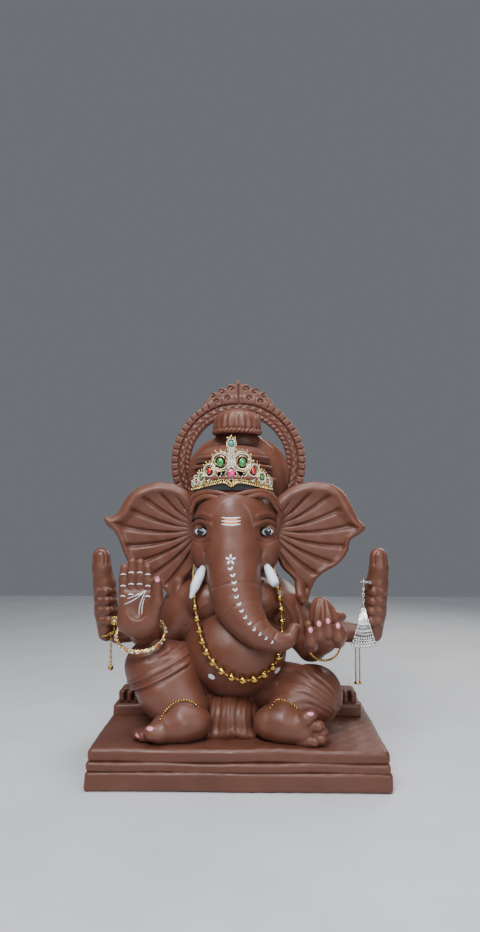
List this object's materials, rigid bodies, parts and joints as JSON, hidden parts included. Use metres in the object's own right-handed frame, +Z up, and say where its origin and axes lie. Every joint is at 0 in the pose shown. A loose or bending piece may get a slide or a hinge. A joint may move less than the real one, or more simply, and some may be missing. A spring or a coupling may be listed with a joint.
{
  "type": "seated ganesha idol",
  "caption": "Seated four-armed elephant-headed clay idol on a stepped slab, with a halo, lift-off tiara, bead necklace, loose bangles and hanging wrist drops.",
  "frame": {"origin": "underside of the base slab, below the middle of the whole idol", "axes": "+Z up, -Y the way the idol faces, +X towards its own left hand"},
  "size_m": [0.354, 0.21, 0.457],
  "materials": {
    "terracotta": "unglazed smoothed clay, dark chocolate terracotta, matte",
    "painted_white": "white acrylic paint on clay, satin",
    "painted_eye": "painted and varnished eye, glossy",
    "gold": "gold-plated metal, polished, slightly worn",
    "silver": "silver-tone metal with paste stones",
    "felt": "black felt strip",
    "pink_stone": "faceted magenta paste stone",
    "teal_stone": "faceted teal paste stone",
    "mixed_stones": "small faceted paste stones, clear with some red and green",
    "thread": "thin gold-coloured link cord",
    "armature_wood": "bamboo dowel",
    "armature_wire": "bare iron wire"
  },
  "bodies": {
    "idol": {"base_bottom_layer": "terracotta", "base_middle_layer": "terracotta", "base_top_layer": "terracotta", "rear_ledge_lower": "terracotta", "rear_ledge_upper": "terracotta", "torso": "terracotta", "belly": "terracotta", "breasts": "terracotta", "neck_collar": "terracotta", "hip_drape": "terracotta", "right_leg": "terracotta", "left_leg": "terracotta", "right_foot": "terracotta", "left_foot": "terracotta", "front_right_arm": "terracotta", "front_left_arm": "terracotta", "rear_right_arm": "terracotta", "rear_left_arm": "terracotta", "front_right_hand": "terracotta", "front_left_hand": "terracotta", "rear_right_hand": "terracotta", "rear_left_hand": "terracotta", "modak": "terracotta", "head": "terracotta", "trunk": "terracotta", "right_ear": "terracotta", "left_ear": "terracotta", "temple_curls": "terracotta", "crown_base_band": "terracotta", "crown_middle_tier": "terracotta", "crown_dome": "terracotta", "crown_rear_mass": "terracotta", "crown_canopy": "terracotta", "canopy_rope_rim": "terracotta", "halo_ring": "terracotta", "halo_crest": "terracotta", "right_tusk": "painted_white", "left_tusk": "painted_white", "right_eye": "painted_eye", "left_eye": "painted_eye", "spine_dowel": "armature_wood", "arm_wires": "armature_wire", "halo_pins": "armature_wire", "pendant_hook": "armature_wire", "right_anklet": "gold", "left_anklet": "gold", "necklace_cord": "thread", "necklace_beads": "gold"},
    "tiara": {"tiara_frame": "gold", "tiara_felt_lining": "felt", "tiara_centre_stone": "pink_stone", "tiara_peak_stone": "teal_stone", "tiara_small_stones": "mixed_stones"},
    "right_bangle": {"front_right_bangle": "gold"},
    "left_bangle": {"front_left_bangle": "gold"},
    "wrist_bracelet": {"rear_right_bracelet": "gold"},
    "wrist_drop": {"right_wrist_drop": "gold"},
    "fan_pendant": {"left_pendant_fan": "silver", "left_pendant_strands": "gold"}
  },
  "joints": [
    {"name": "tiara_lift", "type": "slide", "parent": "idol", "child": "tiara", "axis": [0, 0, 1], "range_m": [0, 0.08]},
    {"name": "right_bangle_turn", "type": "hinge", "parent": "idol", "child": "right_bangle", "pos_m": [-0.11, -0.05, 0.152], "axis": [0, -0.5812, 0.8137], "continuous": true},
    {"name": "left_bangle_turn", "type": "hinge", "parent": "idol", "child": "left_bangle", "pos_m": [0.09432, -0.04556, 0.1429], "axis": [0.2407, -0.9228, 0.3009], "continuous": true},
    {"name": "bracelet_turn", "type": "hinge", "parent": "idol", "child": "wrist_bracelet", "pos_m": [-0.15208, 0.00862, 0.14952], "axis": [-0.3839, -0.224, 0.8958], "range_deg": [-10, 10]},
    {"name": "drop_swing", "type": "hinge", "parent": "wrist_bracelet", "child": "wrist_drop", "pos_m": [-0.1504, -0.016, 0.146], "axis": [1, 0, 0], "range_deg": [-35, 35]},
    {"name": "pendant_swing", "type": "hinge", "parent": "idol", "child": "fan_pendant", "pos_m": [0.1443, -0.013, 0.206], "axis": [1, 0, 0], "range_deg": [-40, 0]}
  ]
}
